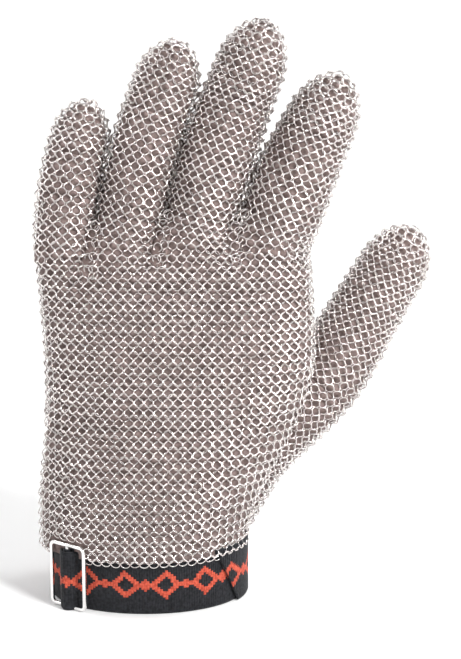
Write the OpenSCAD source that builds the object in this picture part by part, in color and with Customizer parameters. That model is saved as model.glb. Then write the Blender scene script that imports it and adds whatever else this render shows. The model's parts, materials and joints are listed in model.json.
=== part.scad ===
// Left-hand stainless ring-mesh safety glove: a mesh shell in two panels, jointed
// mesh finger and thumb sections, and a webbing wrist strap with a slide buckle.
// Millimetres. The origin is the centre of the wrist opening at the strap's lower
// edge, +Z runs up the hand to the fingers, +X is the thumb side and +Y the palm side.

/* [Mesh] */
// Thickness of the ring-mesh walls
mesh_t = 1.3; // [1:0.1:1.6]
// Clearance between mesh sections that turn past each other
gap = 0.4; // [0.3:0.05:0.6]

/* [Wrist strap] */
// Width of the webbing
strap_w = 25.4; // [24:0.1:27]
// Thickness of the webbing
strap_t = 1.4; // [1.2:0.1:1.6]
// Width of the strap's hoop outside, from side to side
wrist_w = 82; // [80:1:88]
// Depth of the strap's hoop outside, from back to palm
wrist_d = 56; // [54:1:60]

/* [Hand] */
// Height of the mesh's lower edge above the strap's lower edge
cuff_z = 31; // [30.5:0.5:33]
// Height of the knuckle row above the strap's lower edge
knuckle_z = 156; // [152:1:162]
// Height of the slit at the little-finger side of the cuff
slit_h = 42; // [30:1:50]
// Width of that slit
slit_w = 3; // [2:0.5:4]

/* [Index finger] */
// Distance of the index knuckle from the hand's middle line
index_x = 53; // [52.5:0.5:54.5]
// Length from knuckle to tip
index_len = 70; // [67:1:76]
// Radius at the knuckle
index_r = 14.8; // [14:0.1:15]
// Sideways lean of the first section
index_lean = 21; // [19:1:23]

/* [Middle finger] */
// Distance of the middle knuckle from the hand's middle line
middle_x = 22; // [21.5:0.5:22]
// Length from knuckle to tip
middle_len = 89; // [84:1:94]
// Radius at the knuckle
middle_r = 14.2; // [13.5:0.1:14.3]
// Sideways lean of the first section
middle_lean = 16; // [14:1:17]

/* [Ring finger] */
// Distance of the ring knuckle from the hand's middle line
ring_x = -7; // [-7.5:0.5:-7]
// Length from knuckle to tip
ring_len = 82; // [75:1:86]
// Radius at the knuckle
ring_r = 12.9; // [12.2:0.1:13]
// Sideways lean of the first section
ring_lean = 13; // [12:1:14]

/* [Little finger] */
// Distance of the little knuckle from the hand's middle line
little_x = -33; // [-33.5:0.5:-33]
// Length from knuckle to tip
little_len = 60; // [58:1:66]
// Radius at the knuckle
little_r = 11.3; // [10.6:0.1:11.4]
// Sideways lean of the first section
little_lean = 8; // [7:1:9]

/* [Thumb] */
// Radius of the thumb's base at its ball
thumb_r = 15.5; // [15:0.1:15.8]
// Sideways lean of the thumb's base
thumb_lean = 43; // [41:1:44]

/* [Slide buckle] */
// Height of the buckle frame, across the webbing
buckle_h = 28.6; // [28.6:0.1:29.2]
// Length of the buckle frame, along the webbing
buckle_l = 19; // [18:0.5:20]
// Radius of the buckle's bars
bar_r = 0.8; // [0.7:0.05:0.85]

/* [Hidden] */
$fn = 64;
big = 400;

steel = [0.74, 0.72, 0.71];
webbing = [0.10, 0.10, 0.11];
thread = [0.82, 0.27, 0.17];
chrome = [0.85, 0.85, 0.87];

// A finger is [knuckle x, knuckle z, length, knuckle radius, lean]. Its knuckle lies
// in the plane y = 0, and its sections lean further and curl towards the palm.
INDEX = [index_x, knuckle_z - 1, index_len, index_r, index_lean];
MIDDLE = [middle_x, knuckle_z + 1, middle_len, middle_r, middle_lean];
RING = [ring_x, knuckle_z - 1, ring_len, ring_r, ring_lean];
LITTLE = [little_x, knuckle_z - 5, little_len, little_r, little_lean];
FINGERS = [INDEX, MIDDLE, RING, LITTLE];
shares = [0.46, 0.27, 0.27];
more_lean = [0, 5, 9];
curl = [3, 9, 15];
flare = 0.8;

// The thumb's base starts inside the heel of the hand, on the palm side.
thumb_ball = [44, 10, 57];
thumb_lens = [51, 36, 31];
thumb_leans = [thumb_lean, thumb_lean - 10, thumb_lean - 13];
thumb_pitch = [10, 14, 18];
thumb_rs = [thumb_r, 14.4, 13.1];
// How far the thumb's base turns towards the palm.
thumb_swing = 20;

step_r = mesh_t + gap;
palm_drop = 15.5;
knuckle_room = gap + 0.2;
ring_wire_r = 0.35;

function heading(lean, pitch) =
  [sin(lean) * cos(pitch), sin(pitch), cos(lean) * cos(pitch)];
function finger_joint(f, k) = k == 0
  ? [f[0], 0, f[1]]
  : finger_joint(f, k - 1)
    + f[2] * shares[k - 1] * heading(f[4] + more_lean[k - 1], curl[k - 1]);
function thumb_joint(k) = k == 0
  ? thumb_ball
  : thumb_joint(k - 1) + thumb_lens[k - 1] * heading(thumb_leans[k - 1], thumb_pitch[k - 1]);
function oval(w, d, n = 96) =
  [for (i = [0 : n - 1]) [w / 2 * cos(i * 360 / n), d / 2 * sin(i * 360 / n)]];
function oval_arc(w, d, from, to, n = 40) =
  [for (i = [0 : n]) let (a = from + (to - from) * i / n) [w / 2 * cos(a), d / 2 * sin(a)]];
// Heading of the oval's outward normal at parameter a
function oval_normal(w, d, a) = atan2(w * sin(a), d * cos(a));

module along(pos, lean, pitch) {
  translate(pos) rotate([0, lean, 0]) rotate([-pitch, 0, 0]) children();
}

// A mesh tube from radius r0 at z = 0 to radius r1 at z = l. A part-sphere below it
// caps the back of the knuckle and turns inside the section before.
module tube(r0, r1, l) {
  rotate_extrude()
    polygon([[r0 - mesh_t, 0], [r0, 0], [r1, l], [r1 - mesh_t, l]]);
  intersection() {
    difference() {
      sphere(r0);
      sphere(r0 - mesh_t);
    }
    translate([-r0, -r0, -r0]) cube([2 * r0, 0.5 * r0, r0]);
  }
}

// A section whose far end is a socket for the next section's ball of radius r_next.
module socket_section(r0, r_next, l) {
  swing = r_next + flare + gap;
  difference() {
    tube(r0, r_next + step_r, l);
    translate([0, 0, l]) sphere(r_next + gap);
    translate([-big / 2, 0, l - swing]) cube([big, big, big]);
  }
}

// The last section, closed by a round tip.
module tip_section(r0, l) {
  r1 = r0 + flare / 2;
  tube(r0, r1, l - r1);
  translate([0, 0, l - r1]) difference() {
    sphere(r1);
    sphere(r1 - mesh_t);
    translate([-big / 2, -big / 2, -big]) cube([big, big, big]);
  }
}

// Radius of the ball at joint k of finger f: the sections get slimmer to the tip.
function ball_r(f, k) = f[3] - k * (step_r - 0.55 * flare);

module finger_section(f, k) {
  l = f[2] * shares[k];
  color(steel) along(finger_joint(f, k), f[4] + more_lean[k], curl[k]) {
    if (k < 2) {
      socket_section(ball_r(f, k), ball_r(f, k + 1), l);
    } else {
      tip_section(ball_r(f, k), l);
    }
  }
}

module thumb_section(k) {
  color(steel) along(thumb_joint(k), thumb_leans[k], thumb_pitch[k]) {
    if (k == 0) {
      socket_section(thumb_rs[0], thumb_rs[1], thumb_lens[0]);
    } else if (k == 1) {
      socket_section(thumb_rs[1], thumb_rs[2], thumb_lens[1]);
    } else {
      tip_section(thumb_rs[2], thumb_lens[2]);
    }
  }
}

// The hand's outer form, drawn in by inset on every side.
module hand_form(inset) {
  hull() {
    for (f = FINGERS)
      translate([f[0], 0, f[1]]) sphere(f[3] + step_r - inset, $fn = 40);
    translate([0, 0, cuff_z]) linear_extrude(1)
      polygon(oval(wrist_w + 4 - 2 * inset, wrist_d + 2 - 2 * inset, 48));
    translate([1, 2, cuff_z + 48]) linear_extrude(1)
      polygon(oval(wrist_w + 9 - 2 * inset, 50 - 2 * inset, 48));
  }
}

// A round-ended rod that starts with a half ball: the room of a tube and its ball.
module ball_rod(r, h) {
  rotate_extrude() {
    intersection() {
      circle(r);
      translate([0, -r]) square([r, r]);
    }
    square([r, h]);
  }
}

// Everything that the thumb's base needs clear, at rest and as it swings to the palm.
module thumb_room() {
  r = max(thumb_r / cos(thumb_swing), thumb_rs[1] + step_r) + knuckle_room;
  h = thumb_lens[0] + 30;
  along(thumb_joint(0), thumb_leans[0], thumb_pitch[0]) {
    ball_rod(r, h);
    translate([-r, 0, 0]) cube([2 * r, big, h]);
  }
}

module hand_shell() {
  difference() {
    hand_form(0);
    hand_form(mesh_t);
    translate([0, 0, cuff_z - 1]) linear_extrude(3)
      polygon(oval(wrist_w + 4 - 2 * mesh_t, wrist_d + 2 - 2 * mesh_t, 48));
    for (f = FINGERS)
      translate([f[0], 0, f[1]]) rotate([0, f[4], 0]) ball_rod(f[3] + knuckle_room, big);
    thumb_room();
    translate([-big, -slit_w / 2, 0]) cube([big, slit_w, cuff_z + slit_h]);
  }
}

module back_panel() {
  color(steel) intersection() {
    hand_shell();
    translate([-big / 2, -big, 0]) cube([big, big, knuckle_z]);
  }
}

module palm_panel() {
  color(steel) intersection() {
    hand_shell();
    translate([-big / 2, 0, 0]) cube([big, big, knuckle_z - palm_drop]);
  }
}

module wrist_strap() {
  color(webbing) linear_extrude(strap_w) difference() {
    polygon(oval(wrist_w, wrist_d));
    polygon(oval(wrist_w - 2 * strap_t, wrist_d - 2 * strap_t));
  }
}

// The free end of the webbing, laid back over the hoop from the thumb side to the palm.
tail_from = -28;
tail_to = 100;
module strap_tail() {
  lift = 2 * 0.3;
  color(webbing) linear_extrude(strap_w) polygon(concat(
    oval_arc(wrist_w + lift, wrist_d + lift, tail_from, tail_to),
    oval_arc(wrist_w + lift + 2 * strap_t, wrist_d + lift + 2 * strap_t, tail_to, tail_from)
  ));
}

buckle_at = 222;
buckle_lift = 2.9;
// Draws at the buckle's centre bar: x along the webbing, y in towards the wrist, z up
module at_buckle() {
  n = oval_normal(wrist_w, wrist_d, buckle_at);
  translate([wrist_w / 2 * cos(buckle_at), wrist_d / 2 * sin(buckle_at), buckle_h / 2])
    rotate([0, 0, n + 90]) translate([0, -buckle_lift, 0]) children();
}

// The sewn end of the webbing, which wraps the buckle's centre bar.
loop_r = 1.7;
loop_h = strap_w - 1.4;
loop_tab = 3;
module strap_loop() {
  color(webbing) at_buckle() difference() {
    translate([0, 0, -loop_h / 2]) {
      cylinder(h = loop_h, r = loop_r);
      cube([loop_tab, loop_r, loop_h]);
    }
    translate([0, 0, -strap_w]) cylinder(h = 2 * strap_w, r = bar_r + 0.08);
  }
}

// Two rows of stitches that close the webbing's loop.
stitch_count = 8;
stitch_pitch = 2.7;
stitch = [0.5, 0.4, 1.8];
module strap_stitching() {
  color(thread) at_buckle() for (x = [loop_r, loop_r + 0.7], i = [0 : stitch_count - 1])
    translate([x, -stitch[1], (i - (stitch_count - 1) / 2) * stitch_pitch - stitch[2] / 2])
      cube(stitch);
}

module slide_buckle() {
  half_l = buckle_l / 2 - bar_r;
  half_h = buckle_h / 2 - bar_r;
  color(chrome) at_buckle() {
    for (x = [-half_l, 0, half_l])
      translate([x, 0, -half_h]) cylinder(h = 2 * half_h, r = bar_r);
    for (z = [-half_h, half_h]) translate([-half_l, 0, z]) {
      rotate([0, 90, 0]) cylinder(h = 2 * half_l, r = bar_r);
      for (x = [0, 2 * half_l]) translate([x, 0, 0]) sphere(bar_r);
    }
  }
}

module wire_ring(r) {
  rotate_extrude() translate([r, 0]) circle(ring_wire_r, $fn = 24);
}

// The rings that tie the mesh's edge to the strap all round the cuff.
link_count = 31;
module link_rings() {
  w = wrist_w - strap_t;
  d = wrist_d - strap_t;
  z = (strap_w + cuff_z) / 2;
  r = (cuff_z - strap_w) / 2 - ring_wire_r - 0.2;
  color(steel) for (i = [0 : link_count - 1]) {
    a = (i + 0.5) * 360 / link_count;
    translate([w / 2 * cos(a), d / 2 * sin(a), z])
      rotate([0, 0, oval_normal(w, d, a)]) rotate([0, 90, 0]) wire_ring(r);
  }
}

// The larger ring that closes the foot of the cuff's slit.
module cuff_ring() {
  color(steel) translate([-wrist_w / 2 - 3.2, 0, cuff_z + 5]) rotate([0, 90, 0]) wire_ring(3.1);
}

back_panel();
palm_panel();
finger_section(INDEX, 0);  // index_proximal
finger_section(INDEX, 1);  // index_middle
finger_section(INDEX, 2);  // index_distal
finger_section(MIDDLE, 0);  // middle_proximal
finger_section(MIDDLE, 1);  // middle_middle
finger_section(MIDDLE, 2);  // middle_distal
finger_section(RING, 0);  // ring_proximal
finger_section(RING, 1);  // ring_middle
finger_section(RING, 2);  // ring_distal
finger_section(LITTLE, 0);  // little_proximal
finger_section(LITTLE, 1);  // little_middle
finger_section(LITTLE, 2);  // little_distal
thumb_section(0);  // thumb_base
thumb_section(1);  // thumb_proximal
thumb_section(2);  // thumb_distal
wrist_strap();
strap_tail();
strap_loop();
strap_stitching();
link_rings();
cuff_ring();
slide_buckle();
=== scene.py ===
"""Looks of a left-hand ring-mesh glove: rows of wire rings laid over the hand's form,
a ribbed webbing strap with a woven motif, and a polished slide buckle. The rings are laid
out as in a linked mesh, but they aren't truly linked: some cross through each other."""
import json
import math

import bpy
import numpy as np
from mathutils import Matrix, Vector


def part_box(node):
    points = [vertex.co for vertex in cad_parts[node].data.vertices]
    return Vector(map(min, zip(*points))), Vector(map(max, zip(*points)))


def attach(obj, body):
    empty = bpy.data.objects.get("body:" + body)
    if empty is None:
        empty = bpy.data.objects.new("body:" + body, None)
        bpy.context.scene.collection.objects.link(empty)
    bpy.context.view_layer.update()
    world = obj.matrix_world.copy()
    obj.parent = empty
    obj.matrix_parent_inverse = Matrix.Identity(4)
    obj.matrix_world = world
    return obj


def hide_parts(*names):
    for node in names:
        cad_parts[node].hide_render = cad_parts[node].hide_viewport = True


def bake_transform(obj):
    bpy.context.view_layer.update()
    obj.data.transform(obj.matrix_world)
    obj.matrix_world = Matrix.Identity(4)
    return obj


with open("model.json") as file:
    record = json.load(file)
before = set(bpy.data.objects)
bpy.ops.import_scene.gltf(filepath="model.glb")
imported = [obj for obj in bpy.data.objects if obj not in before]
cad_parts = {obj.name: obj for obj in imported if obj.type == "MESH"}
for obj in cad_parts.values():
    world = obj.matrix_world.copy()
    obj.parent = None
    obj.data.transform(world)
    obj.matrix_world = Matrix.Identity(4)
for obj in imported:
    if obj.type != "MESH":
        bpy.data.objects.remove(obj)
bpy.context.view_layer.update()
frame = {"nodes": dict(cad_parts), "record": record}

MM = 0.001
JOINTS = {joint["name"]: joint for joint in frame["record"]["behaviour"]["joints"]}
FINGERS = ("little", "ring", "middle", "index")

# ---------------------------------------------------------------- ring mesh
RING_R = 1.85 * MM
WIRE_R = 0.25 * MM
RING_STEPS = 16
WIRE_STEPS = 5
ROW_PITCH = 2.15 * MM
COLUMN_PITCH = 4.0 * MM
TIGHTEST_PITCH = 3.6 * MM
RING_TILT = math.radians(28)
TILT_JITTER = math.radians(3.5)
PLACE_JITTER = 0.07 * MM
HEM_Z = 22.5 * MM
SEED = 7

# The middle column stands upright at this x, and the others are spaced from it along
# the skin.
MIDDLE_X = 12 * MM

# Outline of the hand without thumb and fingers: height, little-finger side, thumb side,
# back, palm, and how square the section is, from the cuff to the finger roots.
STATIONS = np.array([
    (15, -45.0, 42.0, -30.5, 30.5, 2.00),
    (36, -45.5, 44.0, -29.5, 30.0, 2.05),
    (52, -44.8, 51.0, -27.5, 29.5, 2.10),
    (67, -43.0, 59.0, -25.0, 28.0, 2.20),
    (84, -41.5, 66.0, -22.5, 25.5, 2.40),
    (105, -41.5, 70.0, -20.0, 22.0, 2.60),
    (122, -42.5, 69.2, -18.0, 19.5, 2.80),
    (142, -43.6, 68.2, -16.5, 17.5, 3.00),
    (180, -44.5, 69.0, -15.8, 16.5, 3.00),
])
STATIONS[:, :5] *= MM

# Each tube: rings round its root, columns of its back, half-widths in mm from root to
# tip, depth over width, and the length of its round end over its half-width there.
TUBES = {
    "little": dict(rings=18, back=6, widths=(12.4, 12.9, 12.3, 11.2), depth=0.90, nose=1.5),
    "ring": dict(rings=20, back=7, widths=(13.8, 14.2, 13.7, 12.6), depth=0.89, nose=1.5),
    "middle": dict(rings=24, back=8, widths=(14.8, 15.4, 14.4, 13.6), depth=0.93, nose=1.5),
    "index": dict(rings=24, back=8, widths=(16.2, 16.4, 14.8, 13.4), depth=0.93, nose=1.6),
    "thumb": dict(rings=26, back=0, widths=(15.5, 17.2, 15.2, 13.8), depth=0.92, nose=1.4),
}
TIP_ROOM = 1.2 * MM
# A finger parts from its neighbours this far above its knuckle, and the hand's columns
# start to turn into the finger's this far below it.
CROTCH = 8 * MM
BLEND_BELOW = 16 * MM

# The webs between the fingers start this far below the lower knuckle, and rise this far
# over the crotch. A gap is filled once it is over this many column pitches.
WEB_BELOW = 16 * MM
WEB_ARCH = 2.5 * MM
WIDEST_GAP = 1.06

# How finely the skin's curves are sampled.
OUTLINE_HALF_STEPS = 360
TUBE_STEPS = 60

# The last row of a finger or thumb lies at least this many rows short of its tip.
TIP_ROWS_FREE = 0.4

# The sheet under a web laps by this share of the web's width under each finger.
WEB_LAP = 0.25
WEB_ACROSS = 7

rng = np.random.default_rng(SEED)


def smooth(x, xs, ys):
    """A smooth curve through the points (xs, ys), read at x."""
    xs = np.asarray(xs, float)
    ys = np.asarray(ys, float)
    slope = np.gradient(ys, xs)
    x = np.clip(x, xs[0], xs[-1])
    i = np.clip(np.searchsorted(xs, x) - 1, 0, len(xs) - 2)
    h = xs[i + 1] - xs[i]
    t = (x - xs[i]) / h
    return ((2 * t**3 - 3 * t**2 + 1) * ys[i] + (t**3 - 2 * t**2 + t) * h * slope[i]
            + (3 * t**2 - 2 * t**3) * ys[i + 1] + (t**3 - t**2) * h * slope[i + 1])


def ease(t):
    t = np.clip(t, 0, 1)
    return t * t * (3 - 2 * t)


def unit(v):
    return v / np.maximum(np.linalg.norm(v, axis=-1, keepdims=True), 1e-12)


class Outline:
    """The hand's outline at one height, measured along its edge."""

    def __init__(self, z):
        left, right, back, palm, power = (
            smooth(z, STATIONS[:, 0], STATIONS[:, k]) for k in range(1, 6))
        angle = np.linspace(-math.pi, math.pi, 2 * OUTLINE_HALF_STEPS + 1)
        c, s = np.cos(angle), np.sin(angle)
        self.centre = np.array([(left + right) / 2, (back + palm) / 2])
        self.half = np.array([(right - left) / 2, (palm - back) / 2])
        self.power = power
        self.x = self.centre[0] + self.half[0] * np.sign(c) * np.abs(c) ** (2 / power)
        self.y = self.centre[1] + self.half[1] * np.sign(s) * np.abs(s) ** (2 / power)
        self.arc = np.append(0, np.cumsum(np.hypot(np.diff(self.x), np.diff(self.y))))
        self.side = self.arc[OUTLINE_HALF_STEPS]
        back_half = slice(0, OUTLINE_HALF_STEPS + 1)
        palm_half = slice(OUTLINE_HALF_STEPS, None)
        self.back = np.interp(MIDDLE_X, self.x[back_half], self.arc[back_half])
        self.palm = np.interp(-MIDDLE_X, -self.x[palm_half], self.arc[palm_half])
        self.z = z

    def point(self, u, back):
        arc = (self.back if back else self.palm) + u
        return np.stack([np.interp(arc, self.arc, self.x), np.interp(arc, self.arc, self.y),
                         np.full_like(arc, self.z)], axis=-1)

    def span(self, back):
        """Lowest and highest u of this panel, from side seam to side seam."""
        if back:
            return -self.back, self.side - self.back
        return self.side - self.palm, self.arc[-1] - self.palm

    def depth_inside(self, x, y):
        """Under 1 inside the outline, over 1 outside."""
        return (np.abs((x - self.centre[0]) / self.half[0]) ** self.power
                + np.abs((y - self.centre[1]) / self.half[1]) ** self.power)


class Tube:
    """A finger or thumb: a bent tube with a round end. m is the length along its skin."""

    def __init__(self, name, joints, tip_node, foot=None):
        shape = TUBES[name]
        spots = [np.array(JOINTS[j]["pos_m"], float) for j in joints]
        across = [-np.array(JOINTS[j]["axis"], float) for j in joints]
        tip_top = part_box(tip_node)[1][2] - TIP_ROOM
        last = spots[-1] - spots[-2]
        spots.append(spots[-1] + last * (tip_top - spots[-1][2]) / last[2])
        across.append(across[-1])
        self.joints = np.array(spots)
        if foot is not None:
            spots.insert(0, np.array(foot, float))
            across.insert(0, across[0])
        knots = np.append(0, np.cumsum(np.linalg.norm(np.diff(spots, axis=0), axis=1)))
        origin = knots[1] if foot is not None else 0
        self.knots = knots - origin
        self.joint_s = self.knots[1:-1] if foot is not None else self.knots[:-1]
        self.spots = np.array(spots)
        self.across = np.array(across)
        self.length = self.knots[-1]
        self.rings = shape["rings"]
        self.back = shape["back"]
        self.depth = shape["depth"]
        self.widths = np.array(shape["widths"]) * MM
        self.nose = self.widths[-1] * shape["nose"]
        round_end = np.sin(np.linspace(0, np.pi / 2, TUBE_STEPS))
        s = np.concatenate([np.linspace(0, self.length - self.nose, TUBE_STEPS)[:-1],
                            self.length - self.nose * (1 - round_end)])
        width = self.width(s)
        self.skin = np.append(0, np.cumsum(np.hypot(np.diff(s), np.diff(width))))
        self.skin_s = s
        self.end = self.skin[-1]

    def width(self, s):
        shares = np.array([0, 0.3, 0.65, 1.0]) * self.length
        width = smooth(s, shares, self.widths)
        into_nose = np.clip((s - (self.length - self.nose)) / self.nose, 0, 1)
        return width * np.sqrt(np.maximum(1 - into_nose**2, 0))

    def place(self, s):
        """Centre, across, towards the palm, and along, at arc length s."""
        low = self.knots[0]
        beyond = np.minimum(s - low, 0)
        t = np.clip(s, low, self.length)
        step = 0.5 * MM
        def centre(v):
            return np.stack([smooth(v, self.knots, self.spots[:, k]) for k in range(3)], axis=-1)
        ahead = unit(centre(np.minimum(t + step, self.length))
                     - centre(np.maximum(t - step, low)))
        across = np.stack([np.interp(t, self.knots, self.across[:, k]) for k in range(3)],
                          axis=-1)
        across = unit(across - ahead * np.sum(across * ahead, axis=-1, keepdims=True))
        spot = centre(t) + ahead * beyond[..., None]
        return spot, across, np.cross(ahead, across), ahead

    def to_s(self, m):
        return np.where(m < 0, m, np.interp(m, self.skin, self.skin_s))

    def point(self, phi, m):
        s = self.to_s(m)
        spot, across, palm, _ = self.place(s)
        width = self.width(np.maximum(s, 0))[..., None]
        return (spot + across * width * np.sin(phi)[..., None]
                - palm * width * self.depth * np.cos(phi)[..., None])

    def count(self, m, now):
        """Rings in the row at m, when the row before has now."""
        s = float(self.to_s(np.array(m)))
        w = float(self.width(np.array(max(s, 0))))
        around = math.pi * w * (1 + self.depth)
        if around / now < TIGHTEST_PITCH:
            return max(4, int(round(around / COLUMN_PITCH)))
        return now

    def depth_inside(self, p):
        """Under 1 inside the tube, over 1 outside, for points p."""
        grid = np.linspace(self.knots[0], self.length, 3 * TUBE_STEPS // 2)
        spot, across, palm, _ = self.place(grid)
        nearest = np.argmin(np.linalg.norm(p[:, None] - spot[None], axis=2), axis=1)
        d = p - spot[nearest]
        w = np.maximum(self.width(np.maximum(grid[nearest], 0)), 1e-6)
        return np.hypot(np.sum(d * across[nearest], axis=1) / w,
                        np.sum(d * palm[nearest], axis=1) / (w * self.depth))


class Rings:
    """A pile of rings for one piece: centres and the two directions of each ring's plane."""

    def __init__(self):
        self.parts = []

    def add(self, spot, row_way, column_way, odd):
        row_way = unit(row_way)
        out = unit(np.cross(row_way, column_way))
        up = np.cross(out, row_way)
        tilt = (-1 if odd else 1) * (RING_TILT + rng.normal(0, TILT_JITTER, len(spot)))[:, None]
        second = up * np.cos(tilt) + out * np.sin(tilt)
        turn = rng.normal(0, TILT_JITTER, len(spot))[:, None]
        first = unit(row_way + out * turn)
        second = unit(second - first * np.sum(first * second, axis=1, keepdims=True))
        spot = spot + rng.normal(0, PLACE_JITTER, spot.shape)
        self.parts.append(np.stack([spot, first, second], axis=1))

    def all(self):
        return np.concatenate(self.parts) if self.parts else np.zeros((0, 3, 3))


def ring_shapes(rings):
    """Points and faces of closed wire rings."""
    a = np.linspace(0, 2 * np.pi, RING_STEPS, endpoint=False)
    b = np.linspace(0, 2 * np.pi, WIRE_STEPS, endpoint=False)
    first, second = rings[:, 1], rings[:, 2]
    axis = np.cross(first, second)
    spoke = np.cos(a)[None, :, None] * first[:, None] + np.sin(a)[None, :, None] * second[:, None]
    points = (rings[:, 0][:, None, None]
              + spoke[:, :, None] * (RING_R + WIRE_R * np.cos(b))[None, None, :, None]
              + axis[:, None, None] * (WIRE_R * np.sin(b))[None, None, :, None])
    i, j = np.meshgrid(np.arange(RING_STEPS), np.arange(WIRE_STEPS), indexing="ij")
    i2, j2 = (i + 1) % RING_STEPS, (j + 1) % WIRE_STEPS
    ring = np.stack([i * WIRE_STEPS + j, i2 * WIRE_STEPS + j,
                     i2 * WIRE_STEPS + j2, i * WIRE_STEPS + j2], axis=-1).reshape(-1, 4)
    shift = np.arange(len(rings)) * RING_STEPS * WIRE_STEPS
    return points.reshape(-1, 3), (ring[None] + shift[:, None, None]).reshape(-1, 4)


def mesh_object(name, points, quads, *materials, face_material=None):
    """A smooth-shaded mesh object from arrays of points and four-cornered faces."""
    mesh = bpy.data.meshes.new(name)
    points = np.ascontiguousarray(points, np.float32)
    quads = np.ascontiguousarray(quads, np.int32)
    mesh.vertices.add(len(points))
    mesh.vertices.foreach_set("co", points.ravel())
    mesh.loops.add(quads.size)
    mesh.loops.foreach_set("vertex_index", quads.ravel())
    mesh.polygons.add(len(quads))
    mesh.polygons.foreach_set("loop_start", np.arange(len(quads), dtype=np.int32) * 4)
    mesh.polygons.foreach_set("loop_total", np.full(len(quads), 4, np.int32))
    mesh.polygons.foreach_set("use_smooth", np.ones(len(quads), bool))
    for material in materials:
        mesh.materials.append(material)
    if face_material is not None:
        mesh.polygons.foreach_set("material_index", np.asarray(face_material, np.int32))
    mesh.update(calc_edges=True)
    obj = bpy.data.objects.new(name, mesh)
    bpy.context.scene.collection.objects.link(obj)
    return obj


# ------------------------------------------------------------ laying out the hand
# Back columns from the little-finger side to the thumb side: how many belong to each
# finger, and how many more lie past the little finger and past the index finger.
EDGE_COLUMNS = 2
BACK_COLUMNS = {name: TUBES[name]["back"] for name in FINGERS}
FIRST_COLUMN = {}
total = EDGE_COLUMNS
for name in FINGERS:
    FIRST_COLUMN[name] = total
    total += BACK_COLUMNS[name]
COLUMNS = total + EDGE_COLUMNS
CENTRE_COLUMN = (COLUMNS - 1) / 2

THUMB_FOOT = (28 * MM, 9 * MM, 30 * MM)
FINGER_TUBES = {name: Tube(name, [f"{name}_{j}" for j in ("mcp", "pip", "dip")], f"{name}_distal")
                for name in FINGERS}
THUMB = Tube("thumb", ["thumb_cmc", "thumb_mcp", "thumb_ip"], "thumb_distal", foot=THUMB_FOOT)
FINGERS_FROM = min(tube.joints[0][2] for tube in FINGER_TUBES.values()) - BLEND_BELOW
SEAM_ROOM = 0.35 * COLUMN_PITCH
SLIT_TOP = 75 * MM
SLIT_ROOM = 1.2 * COLUMN_PITCH
PALM_IN_THUMB = 0.80
THUMB_IN_HAND = 0.62
SIDE_IN_FINGER = 0.93


def row_height(k):
    return HEM_Z + k * ROW_PITCH


def knuckle_height(name):
    return FINGER_TUBES[name].joints[0][2]


def column_shift(odd):
    return 0.5 if odd else 0.0


def hand_point(column, z, back):
    """A point of the hand's skin, for a column number that may be a fraction."""
    u = (np.atleast_1d(column).astype(float) - CENTRE_COLUMN) * COLUMN_PITCH
    return Outline(z).point(u if back else -u, back)


def finger_angle(name, column, back):
    """The angle round a finger at which a hand column runs up it."""
    step = 2 * math.pi / TUBES[name]["rings"]
    middle = FIRST_COLUMN[name] + (BACK_COLUMNS[name] - 1) / 2
    turn = (np.atleast_1d(column).astype(float) - middle) * step
    return turn if back else math.pi - turn


def panel_point(name, column, m, back):
    """A point in the stretch where the hand's columns turn into the columns of a finger."""
    tube = FINGER_TUBES[name]
    column = np.atleast_1d(column).astype(float)
    on_hand = hand_point(column, knuckle_height(name) + m, back)
    on_tube = tube.point(finger_angle(name, column, back), np.full(len(column), m))
    share = ease((m + BLEND_BELOW) / (BLEND_BELOW + CROTCH))
    return on_hand * (1 - share) + on_tube * share


def finger_columns(name, back, odd):
    """The hand columns that run up a finger, with the outer side of the two end fingers."""
    first = FIRST_COLUMN[name]
    last = first + BACK_COLUMNS[name]
    if name == FINGERS[0]:
        first = 0 if back or odd else 1
    if name == FINGERS[-1]:
        last = COLUMNS - 1 if odd and not back else COLUMNS
    return np.arange(first, last) + column_shift(odd)


def with_ways(place, column, height):
    """Spots and both directions of the rings in a row, by finite differences."""
    step = 0.25
    spot = place(column, height)
    row_way = place(column + step, height) - place(column - step, height)
    rise = 1.0 * MM
    column_way = place(column, height + rise) - place(column, height - rise)
    return spot, row_way, column_way


def hand_rows(rings, back, low, high):
    """Rows of rings over one panel of the hand, between two heights."""
    k = 0
    while row_height(k) < high:
        z = row_height(k)
        odd = k % 2 == 1
        k += 1
        if z < low:
            continue
        column = np.arange(-2, COLUMNS + 2) + column_shift(odd)
        u = (column - CENTRE_COLUMN) * COLUMN_PITCH
        u = u if back else -u
        u_low, u_high = Outline(z).span(back)
        room_low = room_high = SEAM_ROOM
        if z < SLIT_TOP:
            room_low, room_high = (SLIT_ROOM, SEAM_ROOM) if back else (SEAM_ROOM, SLIT_ROOM)
        column = column[(u > u_low + room_low) & (u < u_high - room_high)]
        spot, row_way, column_way = with_ways(lambda c, h: hand_point(c, h, back), column, z)
        if not back:
            row_way = -row_way
        keep = THUMB.depth_inside(spot) > PALM_IN_THUMB
        keep &= ~by_buckle(spot)
        rings.add(spot[keep], row_way[keep], column_way[keep], odd)


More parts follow.
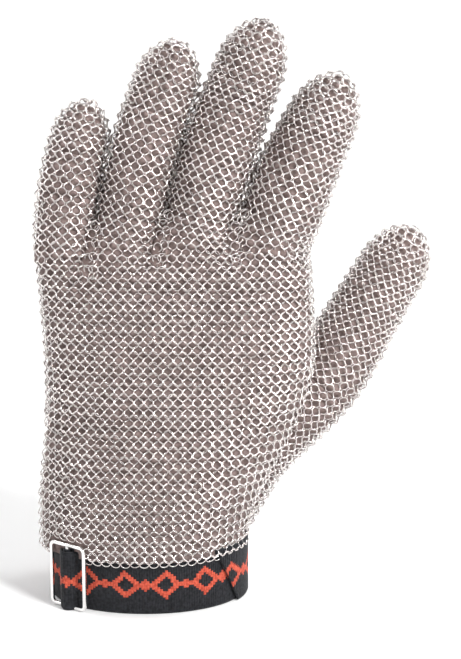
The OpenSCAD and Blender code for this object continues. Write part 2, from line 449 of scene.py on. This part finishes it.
def knuckle_rows(rings, name, back):
    """Rows over one finger's share of a panel, from the hand to the finger's crotch."""
    foot = knuckle_height(name)
    k = first_row(FINGERS_FROM)
    while row_height(k) < foot + CROTCH:
        z = row_height(k)
        odd = k % 2 == 1
        k += 1
        column = finger_columns(name, back, odd)
        u = (column - CENTRE_COLUMN) * COLUMN_PITCH
        u = u if back else -u
        if name in (FINGERS[0], FINGERS[-1]):
            u_low, u_high = Outline(z).span(back)
            free = ease((z - foot + BLEND_BELOW) / (BLEND_BELOW + CROTCH)) * 2 * COLUMN_PITCH
            column = column[(u > u_low + SEAM_ROOM - free) & (u < u_high - SEAM_ROOM + free)]
        spot, row_way, column_way = with_ways(
            lambda c, h: panel_point(name, c, h, back), column, z - foot)
        if not back:
            row_way = -row_way
        keep = THUMB.depth_inside(spot) > PALM_IN_THUMB
        rings.add(spot[keep], row_way[keep], column_way[keep], odd)


def first_row(z):
    return int(math.ceil((z - HEM_Z) / ROW_PITCH))


def around_rows(tube, start_row, foot, keep_row):
    """Rows right round a tube, from a row number up to its tip: one (s, spots, ways, odd) each."""
    k = start_row
    now = tube.rings
    phase = 0.5 if tube.back % 2 == 0 else 0.0
    while True:
        m = row_height(k) - foot
        if m > tube.end - TIP_ROWS_FREE * ROW_PITCH:
            return
        now = tube.count(m, now)
        step = 2 * math.pi / now
        odd = k % 2 == 1
        phi = (np.arange(now) + phase + column_shift(odd)) * step
        height = np.full(now, m)
        nudge = 0.05
        spot = tube.point(phi, height)
        row_way = tube.point(phi + nudge, height) - tube.point(phi - nudge, height)
        rise = 0.6 * MM
        column_way = (tube.point(phi, np.minimum(height + rise, tube.end))
                      - tube.point(phi, height - rise))
        keep = keep_row(spot)
        yield float(tube.to_s(np.array(m))), spot[keep], row_way[keep], column_way[keep], odd
        k += 1


def clear_of_neighbours(name):
    """Keeps a finger's rings that don't lie inside the finger beside it."""
    order = FINGERS.index(name)
    beside = [FINGER_TUBES[FINGERS[i]] for i in (order - 1, order + 1) if 0 <= i < len(FINGERS)]

    def keep(spot):
        near = spot[:, 2] < max(tube.joints[0][2] for tube in FINGER_TUBES.values()) + 3 * CROTCH
        inside = np.zeros(len(spot), bool)
        for tube in beside:
            inside |= tube.depth_inside(spot) < SIDE_IN_FINGER
        return ~(near & inside)
    return keep


def web_edges(left, right, z, back, odd):
    """The outermost columns of two fingers, either side of the web at one height."""
    first = FIRST_COLUMN[right] + column_shift(odd)
    return (panel_point(left, first - 1, z - knuckle_height(left), back)[0],
            panel_point(right, first, z - knuckle_height(right), back)[0])


def web_strip(left, right, shifted):
    """The rows of a web, up its back, over the crotch and down its palm side: both ends
    of each row, and which way its rings tilt."""
    top = min(knuckle_height(left), knuckle_height(right)) + CROTCH
    numbers = range(first_row(top - CROTCH - WEB_BELOW), first_row(top))
    rows = []
    for k in numbers:
        odd = k % 2 == 1
        rows.append((*web_edges(left, right, row_height(k), True, odd and shifted), odd))
    back_a, back_b = web_edges(left, right, top, True, False)
    palm_a, palm_b = web_edges(left, right, top, False, False)
    over = max(2, int(round(np.linalg.norm(palm_a - back_a) / ROW_PITCH)))
    for k in range(over + 1):
        turn = k / over
        arch = np.array([0, 0, WEB_ARCH * math.sin(math.pi * turn)])
        rows.append((back_a * (1 - turn) + palm_a * turn + arch,
                     back_b * (1 - turn) + palm_b * turn + arch, (numbers[-1] + k) % 2 == 0))
    for k in reversed(numbers):
        odd = k % 2 == 1
        rows.append((*web_edges(left, right, row_height(k), False, odd and shifted), not odd))
    return rows


def web_rows(rings, left, right):
    """Rings that fill the gap between two fingers."""
    rows = web_strip(left, right, True)
    ways = np.gradient(np.array([(a + b) / 2 for a, b, _ in rows]), axis=0)
    for (a, b, odd), way in zip(rows, ways):
        fill = int(math.ceil(np.linalg.norm(b - a) / COLUMN_PITCH - WIDEST_GAP))
        if fill > 0:
            share = np.arange(1, fill + 1)[:, None] / (fill + 1)
            rings.add(a + (b - a) * share, np.repeat((b - a)[None], fill, axis=0),
                      np.repeat(way[None], fill, axis=0), odd)


def web_sheet(left, right):
    """The sheet under a web, which laps a little under the fingers on both sides."""
    share = np.linspace(-WEB_LAP, 1 + WEB_LAP, WEB_ACROSS)[:, None]
    grid = [a + (b - a) * share for a, b, _ in web_strip(left, right, False)]
    return thick_sheet(np.array(grid), False)


# ------------------------------------------------------------------- materials
def new_material(name):
    material = bpy.data.materials.new(name)
    material.use_nodes = True
    nodes = material.node_tree.nodes
    return material, nodes, material.node_tree.links, nodes["Principled BSDF"]


def noise_at(nodes, links, scale, detail=3.0):
    place = nodes.new("ShaderNodeTexCoord")
    noise = nodes.new("ShaderNodeTexNoise")
    noise.inputs["Scale"].default_value = scale
    noise.inputs["Detail"].default_value = detail
    links.new(place.outputs["Object"], noise.inputs["Vector"])
    return noise


def ramp_between(nodes, links, source, low, high, start=0.35, end=0.65):
    ramp = nodes.new("ShaderNodeValToRGB")
    ramp.color_ramp.elements[0].position = start
    ramp.color_ramp.elements[1].position = end
    ramp.color_ramp.elements[0].color = (*low, 1)
    ramp.color_ramp.elements[1].color = (*high, 1)
    links.new(source, ramp.inputs["Fac"])
    return ramp.outputs["Color"]


def add_bump(nodes, links, shader, source, strength, distance):
    bump = nodes.new("ShaderNodeBump")
    bump.inputs["Strength"].default_value = strength
    bump.inputs["Distance"].default_value = distance
    links.new(source, bump.inputs["Height"])
    links.new(bump.outputs["Normal"], shader.inputs["Normal"])


def steel_material():
    """Drawn stainless wire: bright, a little warm, with smears that dull it here and there."""
    material, nodes, links, shader = new_material("ring_steel")
    shader.inputs["Metallic"].default_value = 1.0
    smears = noise_at(nodes, links, 60)
    colour = ramp_between(nodes, links, smears.outputs["Fac"], (0.66, 0.62, 0.60), (0.84, 0.80, 0.78))
    links.new(colour, shader.inputs["Base Color"])
    dull = noise_at(nodes, links, 220)
    links.new(ramp_between(nodes, links, dull.outputs["Fac"], (0.16,) * 3, (0.30,) * 3),
              shader.inputs["Roughness"])
    return material


def buckle_material():
    """Polished nickel plate with fine rub marks."""
    material, nodes, links, shader = new_material("buckle_nickel")
    shader.inputs["Metallic"].default_value = 1.0
    rubs = noise_at(nodes, links, 500)
    colour = ramp_between(nodes, links, rubs.outputs["Fac"], (0.80, 0.79, 0.78), (0.92, 0.91, 0.90))
    links.new(colour, shader.inputs["Base Color"])
    links.new(ramp_between(nodes, links, rubs.outputs["Fac"], (0.10,) * 3, (0.26,) * 3),
              shader.inputs["Roughness"])
    return material


def yarn_material(name, dark, light, sheen):
    """Woven yarn: dull, with a fine grain and a little sheen."""
    material, nodes, links, shader = new_material(name)
    shade = noise_at(nodes, links, 900, 2.0)
    colour = ramp_between(nodes, links, shade.outputs["Fac"], dark, light)
    links.new(colour, shader.inputs["Base Color"])
    shader.inputs["Roughness"].default_value = 0.6
    shader.inputs["Specular IOR Level"].default_value = 0.2
    shader.inputs["Sheen Weight"].default_value = sheen
    shader.inputs["Sheen Roughness"].default_value = 0.4
    yarn = noise_at(nodes, links, 2500, 2.0)
    add_bump(nodes, links, shader, yarn.outputs["Fac"], 0.35, 0.15 * MM)
    return material


def shadow_material():
    """Painted shade: the dull brown-grey of a worn glove's shadowed inside, which shows in the gaps
    between the rings.
    """
    material, nodes, links, shader = new_material("mesh_backing")
    shade = noise_at(nodes, links, 350)
    colour = ramp_between(nodes, links, shade.outputs["Fac"], (0.13, 0.091, 0.083), (0.27, 0.20, 0.185))
    links.new(colour, shader.inputs["Base Color"])
    shader.inputs["Roughness"].default_value = 0.85
    grain = noise_at(nodes, links, 1800)
    add_bump(nodes, links, shader, grain.outputs["Fac"], 0.4, 0.2 * MM)
    return material


STEEL = steel_material()
SHADOW = shadow_material()
NICKEL = buckle_material()
WEBBING = yarn_material("webbing_black", (0.004, 0.0045, 0.006), (0.018, 0.019, 0.023), 0.08)
THREAD = yarn_material("thread_orange", (0.36, 0.045, 0.025), (0.58, 0.10, 0.055), 0.08)


# ---------------------------------------------------------------- backing sheets of painted shade
# A thin dark sheet under the rings of each piece closes the view through the mesh, as whatever fills a
# worn glove does. It is painted shade: a dark sheet put where a worn glove shows only shadow. The real
# glove has none. It follows the same skin as the rings.
SHEET_OUTER = 1.05 * MM
SHEET_INNER = 1.35 * MM
SHEET_STEP = 3.0 * MM
HAND_ACROSS = 48
KNUCKLE_ACROSS = 24
KNUCKLE_ROWS = 12
TUBE_AROUND = 40

# In columns: how far a knuckle's sheet runs under its neighbour's, and past the edge
# columns at the two sides of the hand.
KNUCKLE_LAP = 1.6
SIDE_LAP = 0.4


def thick_sheet(grid, closed, flip=False):
    """Points and faces of a thin closed sheet just inside a grid of skin points."""
    rows, columns = grid.shape[:2]
    if closed:
        across = np.roll(grid, -1, axis=1) - np.roll(grid, 1, axis=1)
    else:
        across = np.gradient(grid, axis=1)
    out = unit(np.cross(across, np.gradient(grid, axis=0)))
    if flip:
        out = -out
    points = np.concatenate([(grid - out * SHEET_OUTER).reshape(-1, 3),
                             (grid - out * SHEET_INNER).reshape(-1, 3)])
    spans = np.arange(columns if closed else columns - 1)
    after = (spans + 1) % columns
    i, j = np.meshgrid(np.arange(rows - 1), spans, indexing="ij")
    i, j, j2 = i.ravel(), j.ravel(), ((j + 1) % columns).ravel()
    outer = np.stack([i * columns + j, i * columns + j2,
                      (i + 1) * columns + j2, (i + 1) * columns + j], 1)
    inside = rows * columns
    quads = [outer, outer[:, ::-1] + inside]
    low = np.stack([spans + inside, after + inside, after, spans], 1)
    top = (rows - 1) * columns
    high = np.stack([spans + top, after + top, after + top + inside, spans + top + inside], 1)
    quads += [low, high]
    if not closed:
        for column, turned in ((0, False), (columns - 1, True)):
            first = np.arange(rows - 1) * columns + column
            side = np.stack([first, first + columns, first + columns + inside, first + inside], 1)
            quads.append(side[:, ::-1] if turned else side)
    quads = np.concatenate(quads)
    return points, quads[:, ::-1] if flip else quads


def hand_sheet(back, low, high):
    """The sheet under one panel of the hand, from seam to seam."""
    heights = np.linspace(low, high, int(math.ceil((high - low) / SHEET_STEP)) + 1)
    grid = []
    for z in heights:
        outline = Outline(z)
        u_low, u_high = outline.span(back)
        if z < SLIT_TOP:
            room = SLIT_ROOM - COLUMN_PITCH / 2
            u_low, u_high = (u_low + room, u_high) if back else (u_low, u_high - room)
        grid.append(outline.point(np.linspace(u_low, u_high, HAND_ACROSS), back))
    return thick_sheet(np.array(grid), False)


def knuckle_sheet(name, back):
    """The sheet from the hand to a finger's crotch. It runs a little under its neighbours."""
    foot = knuckle_height(name)
    first = FIRST_COLUMN[name]
    last = first + BACK_COLUMNS[name] - 1
    first -= EDGE_COLUMNS + SIDE_LAP if name == FINGERS[0] else KNUCKLE_LAP
    last += EDGE_COLUMNS + SIDE_LAP if name == FINGERS[-1] else KNUCKLE_LAP
    heights = np.linspace(FINGERS_FROM, foot + CROTCH, KNUCKLE_ROWS)
    grid = []
    for z in heights:
        column = np.linspace(first, last, KNUCKLE_ACROSS)
        u = (column - CENTRE_COLUMN) * COLUMN_PITCH
        u_low, u_high = Outline(z).span(back)
        share = ease((z - foot + BLEND_BELOW) / (BLEND_BELOW + CROTCH))
        if not back:
            u_low, u_high = -u_high, -u_low
        held = np.clip(u, u_low, u_high) * (1 - share) + u * share
        grid.append(panel_point(name, held / COLUMN_PITCH + CENTRE_COLUMN, z - foot, back))
    return thick_sheet(np.array(grid), False, flip=not back)


def tube_sheet(tube, m_low, m_high):
    """The sheet inside a stretch of a finger or thumb."""
    rows = max(3, int(math.ceil((m_high - m_low) / SHEET_STEP)) + 1)
    heights = np.linspace(m_low, m_high, rows)
    phi = np.linspace(0, 2 * math.pi, TUBE_AROUND, endpoint=False)
    grid = np.array([tube.point(phi, np.full(TUBE_AROUND, m)) for m in heights])
    return thick_sheet(grid, True)


# ------------------------------------------------------------------ mesh pieces
BUCKLE_LOW, BUCKLE_HIGH = (np.array(corner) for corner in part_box("slide_buckle"))
BUCKLE_ROOM = 1.2 * MM
# More room on the hand's side, because the buckle rocks that way.
BUCKLE_SWING = 2.2 * MM


def by_buckle(spot):
    """True where the buckle is. The hem is gathered up over it, so no ring lies there."""
    low = BUCKLE_LOW - (0, BUCKLE_ROOM, BUCKLE_ROOM)
    high = BUCKLE_HIGH + (0, BUCKLE_ROOM + BUCKLE_SWING, BUCKLE_ROOM)
    return np.all((spot > low) & (spot < high), axis=1)


def add_piece(name, rings, sheets, replaced, body=None, joint=None):
    """A ring-mesh piece that rides a body or, when a joint is given, stays where it is with its
    transform baked in.
    """
    points, quads = ring_shapes(rings.all())
    material = [np.zeros(len(quads), int)]
    shapes = [(points, quads)]
    for sheet in sheets:
        shapes.append(sheet)
        material.append(np.ones(len(sheet[1]), int))
    start = np.cumsum([0] + [len(shape[0]) for shape in shapes])
    piece = mesh_object(name, np.concatenate([shape[0] for shape in shapes]),
                        np.concatenate([shape[1] + k for shape, k in zip(shapes, start)]),
                        STEEL, SHADOW, face_material=np.concatenate(material))
    if joint:
        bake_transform(piece)
    else:
        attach(piece, body)
    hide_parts(*replaced)
    return piece


HAND_SPLITS = (HEM_Z, 78 * MM, FINGERS_FROM)

# A stretch before and after each joint. Where the stretch before a joint starts, one mesh piece ends
# and the next begins. At a finger's two outer joints both are this share of the section between them.
KNUCKLE_BEND = (8 * MM, 10 * MM)
FINGER_BEND_SHARE = 0.45
THUMB_BENDS = [(5 * MM, 22 * MM), (10 * MM, 10 * MM), (9 * MM, 9 * MM)]


def hand_meshes():
    for back, side in ((True, "back"), (False, "palm")):
        for part, low, high in zip(("lower", "upper"), HAND_SPLITS[:-1], HAND_SPLITS[1:]):
            rings = Rings()
            hand_rows(rings, back, low, high)
            sheets = [hand_sheet(back, low, high)]
            add_piece(f"{side}_mesh_{part}", rings, sheets, [f"{side}_panel"], body="hand")
    webs = Rings()
    web_sheets = []
    for left, right in zip(FINGERS[:-1], FINGERS[1:]):
        web_rows(webs, left, right)
        web_sheets.append(web_sheet(left, right))
    add_piece("finger_webs", webs, web_sheets, [], body="hand")


def bend_zone(tube, index, before, after):
    """Two points on a tube's middle line, before and after one of its joints."""
    at = tube.joint_s[index]
    spots = tube.place(np.array([at - before, at + after]))[0]
    return spots[0], spots[1]


def tube_meshes(name, tube, bodies, zones, labels, foot, start_row, keep_row, first_rings,
                sheet_low, first_sheets):
    """The three mesh pieces of a finger or thumb, one for the stretch at each of its joints."""
    rings = [first_rings, Rings(), Rings()]
    ends = [tube.joint_s[k] - zones[k][0] for k in (1, 2)]
    for s, spot, row_way, column_way, odd in around_rows(tube, start_row, foot, keep_row):
        rings[int(s > ends[0]) + int(s > ends[1])].add(spot, row_way, column_way, odd)
    tip = tube.end - 0.02 * MM
    cuts = [sheet_low, *np.interp(ends, tube.skin_s, tube.skin), tip]
    for k, label in enumerate(labels):
        start, end = bend_zone(tube, k, *zones[k])
        sheets = [tube_sheet(tube, cuts[k], cuts[k + 1])]
        if k == 0:
            sheets += first_sheets
        add_piece(f"{name}_{label}_mesh", rings[k], sheets, [bodies[k + 1]],
                  joint=(bodies[k], bodies[k + 1], start, end))


def finger_mesh(name):
    tube = FINGER_TUBES[name]
    foot = knuckle_height(name)
    rings = Rings()
    knuckle_rows(rings, name, True)
    knuckle_rows(rings, name, False)
    section = tube.joint_s[2] - tube.joint_s[1]
    zone = FINGER_BEND_SHARE * section
    bodies = ["hand", f"{name}_proximal", f"{name}_middle", f"{name}_distal"]
    tube_meshes(name, tube, bodies, [KNUCKLE_BEND, (zone, zone), (zone, zone)],
                ("knuckle", "middle", "tip"), foot, first_row(foot + CROTCH),
                clear_of_neighbours(name), rings,
                -CROTCH, [knuckle_sheet(name, True), knuckle_sheet(name, False)])


def clear_of_hand(spot):
    """Keeps the thumb's rings that aren't deep inside the hand."""
    keep = np.ones(len(spot), bool)
    for i, (x, y, z) in enumerate(spot):
        keep[i] = z > HEM_Z and Outline(z).depth_inside(x, y) > THUMB_IN_HAND
    return keep


def thumb_mesh():
    bodies = ["hand", "thumb_base", "thumb_proximal", "thumb_distal"]
    foot = THUMB.joints[0][2]
    start = first_row(foot + THUMB.knots[0])
    tube_meshes("thumb", THUMB, bodies, THUMB_BENDS,
                ("base", "knuckle", "tip"), foot, start, clear_of_hand, Rings(),
                HEM_Z - foot, [])


# ------------------------------------------------------------------- wrist strap
STRAP_LOW, STRAP_HIGH = (np.array(corner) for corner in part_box("wrist_strap"))
HOOP_W = STRAP_HIGH[0] - STRAP_LOW[0]
HOOP_D = STRAP_HIGH[1] - STRAP_LOW[1]
STRAP_W = STRAP_HIGH[2] - STRAP_LOW[2]
STRAP_T = 1.25 * MM
RIB_PITCH = 1.1 * MM
RIB_DEPTH = 0.16 * MM
RIB_STEPS = 4
WEAVE_PITCH = 0.9 * MM
SELVEDGE = 0.25 * MM
LAYER_GAP = 0.3 * MM

BUCKLE_SPOT = np.array(JOINTS["buckle_tilt"]["pos_m"], float)
BUMP_HALF = 7.8 * MM
BUMP_LIFT = 6.0 * MM

TAIL_FROM = math.radians(-46)
TAIL_TO = math.radians(100)
# The free end is cut aslant over this length, and the cut takes this share of its width.
TAIL_CUT = 13 * MM
CUT_SHARE = 0.93

HOOP_STEPS = 4000

MOTIF_PERIOD = 17 * MM
MOTIF_W = 7.0 * MM
MOTIF_H = 6.2 * MM
MOTIF_LINE = 0.55
MOTIF_DOT = 2.6 * MM


def hoop(angle):
    """Points of the hoop's outer face and the directions out from it."""
    c, s = np.cos(angle), np.sin(angle)
    spot = np.stack([HOOP_W / 2 * c, HOOP_D / 2 * s], axis=-1)
    return spot, unit(np.stack([HOOP_D * c, HOOP_W * s], axis=-1))


def even_path(start, end, lift_at, closed):
    """A path along the hoop with a point every quarter rib."""
    angle = np.linspace(start, end, HOOP_STEPS)
    spot, out = hoop(angle)
    spot = spot + out * lift_at(angle, spot)[:, None]
    s = np.append(0, np.cumsum(np.linalg.norm(np.diff(spot, axis=0), axis=1)))
    ribs = int(round(s[-1] / RIB_PITCH))
    even = np.linspace(0, s[-1], ribs * RIB_STEPS + 1)
    path = np.stack([np.interp(even, s, spot[:, k]) for k in (0, 1)], axis=-1)
    if closed:
        ahead = np.roll(path[:-1], -1, axis=0) - np.roll(path[:-1], 1, axis=0)
        path = path[:-1]
        even = even[:-1]
    else:
        ahead = np.gradient(path, axis=0)
    ahead = unit(ahead)
    out = np.stack([ahead[:, 1], -ahead[:, 0]], axis=-1)
    return even, path, out


def motif(s, z):
    """True where the webbing is woven in the second colour: outlined diamonds and dots."""
    s = (np.floor(s / RIB_PITCH) + 0.5) * RIB_PITCH
    z = (np.floor(z / WEAVE_PITCH) + 0.5) * WEAVE_PITCH - STRAP_W / 2
    along = np.abs(s % MOTIF_PERIOD - MOTIF_PERIOD / 2)
    diamond = along / MOTIF_W + np.abs(z) / MOTIF_H
    dot = (MOTIF_PERIOD / 2 - along) / MOTIF_DOT + np.abs(z) / MOTIF_DOT
    return ((diamond < 1) & (diamond > MOTIF_LINE)) | (dot < 1)


def ribbon(name, even, path, out, closed, cut=0.0):
    """Ribbed webbing along a path, as one closed solid with the motif woven in."""
    rows = int(round(STRAP_W / WEAVE_PITCH)) + 1
    v = np.linspace(0, 1, rows)
    low = STRAP_W * np.clip(1 - even / cut, 0, CUT_SHARE) if cut else np.zeros(len(even))
    z = low[:, None] + (STRAP_W - low)[:, None] * v
    rib = RIB_DEPTH * np.abs(np.sin(math.pi * even / RIB_PITCH))
    edge = np.minimum(1, np.minimum(v, 1 - v) * rows)
    proud = rib[:, None] * edge - SELVEDGE * (1 - edge)
    def face(lift):
        flat = path[:, None] + out[:, None] * lift[:, :, None]
        return np.concatenate([flat, z[:, :, None]], axis=2)
    outer = face(proud)
    inner = face(-STRAP_T - proud)
    points = np.concatenate([outer.reshape(-1, 3), inner.reshape(-1, 3)])
    n = len(even)
    spans = np.arange(n if closed else n - 1)
    i, j = np.meshgrid(spans, np.arange(rows - 1), indexing="ij")
    i2 = (i + 1) % n
    corners = (i * rows + j, i2 * rows + j, i2 * rows + j + 1, i * rows + j + 1)
    a, b, c, d = (corner.ravel() for corner in corners)
    back = n * rows
    quads = [np.stack([a, b, c, d], 1), np.stack([d, c, b, a], 1) + back]
    woven = motif(even[i.ravel()] + RIB_PITCH / 8, z[i, j].ravel() + WEAVE_PITCH / 2)
    for row, flip in ((0, True), (rows - 1, False)):
        first = spans * rows + row
        second = ((spans + 1) % n) * rows + row
        side = np.stack([first, second, second + back, first + back], 1)
        quads.append(side[:, ::-1] if flip else side)
    if not closed:
        for end, flip in ((0, False), (n - 1, True)):
            first = end * rows + np.arange(rows - 1)
            side = np.stack([first, first + 1, first + 1 + back, first + back], 1)
            quads.append(side[:, ::-1] if flip else side)
    material = np.concatenate([woven, woven, np.zeros(sum(map(len, quads[2:])), bool)])
    piece = mesh_object(name, points, np.concatenate(quads), WEBBING, THREAD,
                        face_material=material)
    return piece


def bump_lift(angle, spot):
    """How far the webbing rises over the buckle's centre bar."""
    away = np.linalg.norm(spot - BUCKLE_SPOT[:2], axis=1)
    nearest = spot[np.argmin(away)]
    along = np.linalg.norm(spot - nearest, axis=1)
    return BUMP_LIFT * 0.5 * (1 + np.cos(math.pi * np.clip(along / BUMP_HALF, 0, 1)))


def strap_pieces():
    even, path, out = even_path(0, 2 * math.pi, bump_lift, True)
    webbing = ribbon("strap_webbing", even, path, out, True)
    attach(webbing, "hand")
    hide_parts("wrist_strap")

    def over(angle, spot):
        return np.full(len(angle), LAYER_GAP + STRAP_T + RIB_DEPTH)
    even, path, out = even_path(TAIL_FROM, TAIL_TO, over, False)
    tail = ribbon("strap_free_end", even, path, out, False, cut=TAIL_CUT)
    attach(tail, "hand")
    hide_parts("strap_tail")


# ------------------------------------------------------------------ slide buckle
BAR_R = 0.8 * MM
BUCKLE_LENGTH = 19 * MM
CORNER_R = 2.0 * MM
SECTION_STEPS = 20
SQUARENESS = 3.2


def buckle_directions():
    spot, out = hoop(np.array([math.atan2(BUCKLE_SPOT[1] / HOOP_D, BUCKLE_SPOT[0] / HOOP_W)]))
    out = np.array([out[0, 0], out[0, 1], 0])
    return np.array([-out[1], out[0], 0]), out


def swept_bar(path, closed, aside):
    """Points and faces of a rounded-square bar along a path of points."""
    if closed:
        ahead = unit(np.roll(path, -1, axis=0) - np.roll(path, 1, axis=0))
    else:
        ahead = unit(np.gradient(path, axis=0))
    turn = np.linspace(0, 2 * math.pi, SECTION_STEPS, endpoint=False)
    c, s = np.cos(turn), np.sin(turn)
    flat = np.sign(c) * np.abs(c) ** (2 / SQUARENESS) * BAR_R
    deep = np.sign(s) * np.abs(s) ** (2 / SQUARENESS) * BAR_R
    across = np.cross(ahead, aside)
    points = path[:, None] + across[:, None] * flat[None, :, None] + aside * deep[None, :, None]
    n, m = len(path), SECTION_STEPS
    faces = []
    for i in range(n if closed else n - 1):
        for j in range(m):
            faces.append((i * m + j, ((i + 1) % n) * m + j, ((i + 1) % n) * m + (j + 1) % m,
                          i * m + (j + 1) % m))
    if not closed:
        faces.append(tuple(range(m)))
        faces.append(tuple(reversed(range((n - 1) * m, n * m))))
    return points.reshape(-1, 3), faces


def buckle_piece():
    along, out = buckle_directions()
    up = np.array([0, 0, 1.0])
    height = BUCKLE_HIGH[2] - BUCKLE_LOW[2]
    half = np.array([BUCKLE_LENGTH / 2 - BAR_R, height / 2 - BAR_R])
    corners = []
    for k, (sx, sz) in enumerate(((1, 1), (-1, 1), (-1, -1), (1, -1))):
        turn = np.linspace(k * math.pi / 2, (k + 1) * math.pi / 2, 8)
        x = sx * (half[0] - CORNER_R) + CORNER_R * np.cos(turn)
        z = sz * (half[1] - CORNER_R) + CORNER_R * np.sin(turn)
        corners.append(BUCKLE_SPOT + along * x[:, None] + up * z[:, None])
    frame_points, frame_faces = swept_bar(np.concatenate(corners), True, out)
    rise = np.linspace(-half[1], half[1], 9)
    bar_points, bar_faces = swept_bar(BUCKLE_SPOT + up * rise[:, None], False, out)
    shift = len(frame_points)
    faces = frame_faces + [tuple(v + shift for v in face) for face in bar_faces]
    mesh = bpy.data.meshes.new("buckle_frame")
    mesh.from_pydata(np.concatenate([frame_points, bar_points]).tolist(), [], faces)
    mesh.polygons.foreach_set("use_smooth", np.ones(len(faces), bool))
    mesh.materials.append(NICKEL)
    mesh.update()
    piece = bpy.data.objects.new("buckle_frame", mesh)
    bpy.context.scene.collection.objects.link(piece)
    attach(piece, "slide_buckle")
    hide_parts("slide_buckle")


def dress_node(name, material):
    for place in frame["nodes"][name].material_slots:
        place.material = material


# ------------------------------------------------------------- stage and camera
STAGE_FLOOR = -0.2 * MM
STAGE_R = 1.3
STAGE_BEND = 0.6
STAGE_WALL = 2.6
STAGE_STEPS = 96


def backdrop():
    """A pale round floor that curves up into a wall, so that every view ends on it."""
    turn = np.linspace(0, math.pi / 2, 24)
    reach = np.concatenate([[MM], STAGE_R + STAGE_BEND * np.sin(turn), [STAGE_R + STAGE_BEND]])
    rise = STAGE_FLOOR + np.concatenate([[0], STAGE_BEND * (1 - np.cos(turn)), [STAGE_WALL]])
    around = np.linspace(0, 2 * math.pi, STAGE_STEPS, endpoint=False)
    points = np.stack([np.outer(reach, np.cos(around)), np.outer(reach, np.sin(around)),
                       np.repeat(rise[:, None], STAGE_STEPS, axis=1)], axis=-1).reshape(-1, 3)
    i, j = np.meshgrid(np.arange(len(reach) - 1), np.arange(STAGE_STEPS), indexing="ij")
    i, j, j2 = i.ravel(), j.ravel(), ((j + 1) % STAGE_STEPS).ravel()
    quads = np.stack([i * STAGE_STEPS + j, (i + 1) * STAGE_STEPS + j,
                      (i + 1) * STAGE_STEPS + j2, i * STAGE_STEPS + j2], 1)
    material, nodes, links, shader = new_material("pale_backdrop")
    shader.inputs["Base Color"].default_value = (0.90, 0.90, 0.90, 1)
    shader.inputs["Roughness"].default_value = 0.9
    shader.inputs["Specular IOR Level"].default_value = 0.1
    mesh_object("backdrop", points, quads, material)


def area_light(name, spot, aim, size, power, colour=(1, 1, 1)):
    data = bpy.data.lights.new(name, "AREA")
    data.shape = "SQUARE"
    data.size = size
    data.energy = power
    data.color = colour
    light = bpy.data.objects.new(name, data)
    bpy.context.scene.collection.objects.link(light)
    look_from(light, spot, aim)


def look_from(obj, spot, aim):
    obj.location = spot
    way = Vector(aim) - Vector(spot)
    obj.rotation_mode = "QUATERNION"
    obj.rotation_quaternion = way.to_track_quat("-Z", "Y")


def lights():
    middle = (0.03, 0, 0.12)
    area_light("key", (0.75, -0.72, 0.90), middle, 0.30, 19.0)
    area_light("fill", (-0.8, -0.7, 0.35), middle, 0.6, 0.6)
    area_light("back_wash_left", (-1.0, 0.35, 1.5), (-0.2, 1.6, 0.3), 0.8, 15)
    area_light("back_wash_right", (1.0, 0.35, 1.5), (0.2, 1.6, 0.3), 0.8, 15)
    world = bpy.data.worlds.new("studio")
    bpy.context.scene.world = world
    world.use_nodes = True
    shade = world.node_tree.nodes["Background"]
    shade.inputs["Color"].default_value = (0.95, 0.97, 1.0, 1)
    shade.inputs["Strength"].default_value = 0.05
    bpy.context.scene.view_settings.view_transform = "Standard"


CAMERA_AIM = Vector((35.3 * MM, 0, 114.5 * MM))
CAMERA_AWAY = 0.75
CAMERA_RISE = math.radians(14)
CAMERA_LENS = 99


def camera():
    data = bpy.data.cameras.new("camera")
    data.lens = CAMERA_LENS
    data.sensor_width = 36
    data.clip_start = 0.05
    view = bpy.data.objects.new("camera", data)
    bpy.context.scene.collection.objects.link(view)
    back = Vector((0, -math.cos(CAMERA_RISE), math.sin(CAMERA_RISE)))
    look_from(view, CAMERA_AIM + back * CAMERA_AWAY, CAMERA_AIM)
    bpy.context.scene.camera = view


camera()
lights()
backdrop()
hand_meshes()
for finger in FINGERS:
    finger_mesh(finger)
thumb_mesh()
strap_pieces()
buckle_piece()
for node in ("link_rings", "cuff_ring"):
    dress_node(node, STEEL)
dress_node("strap_loop", WEBBING)
dress_node("strap_stitching", THREAD)
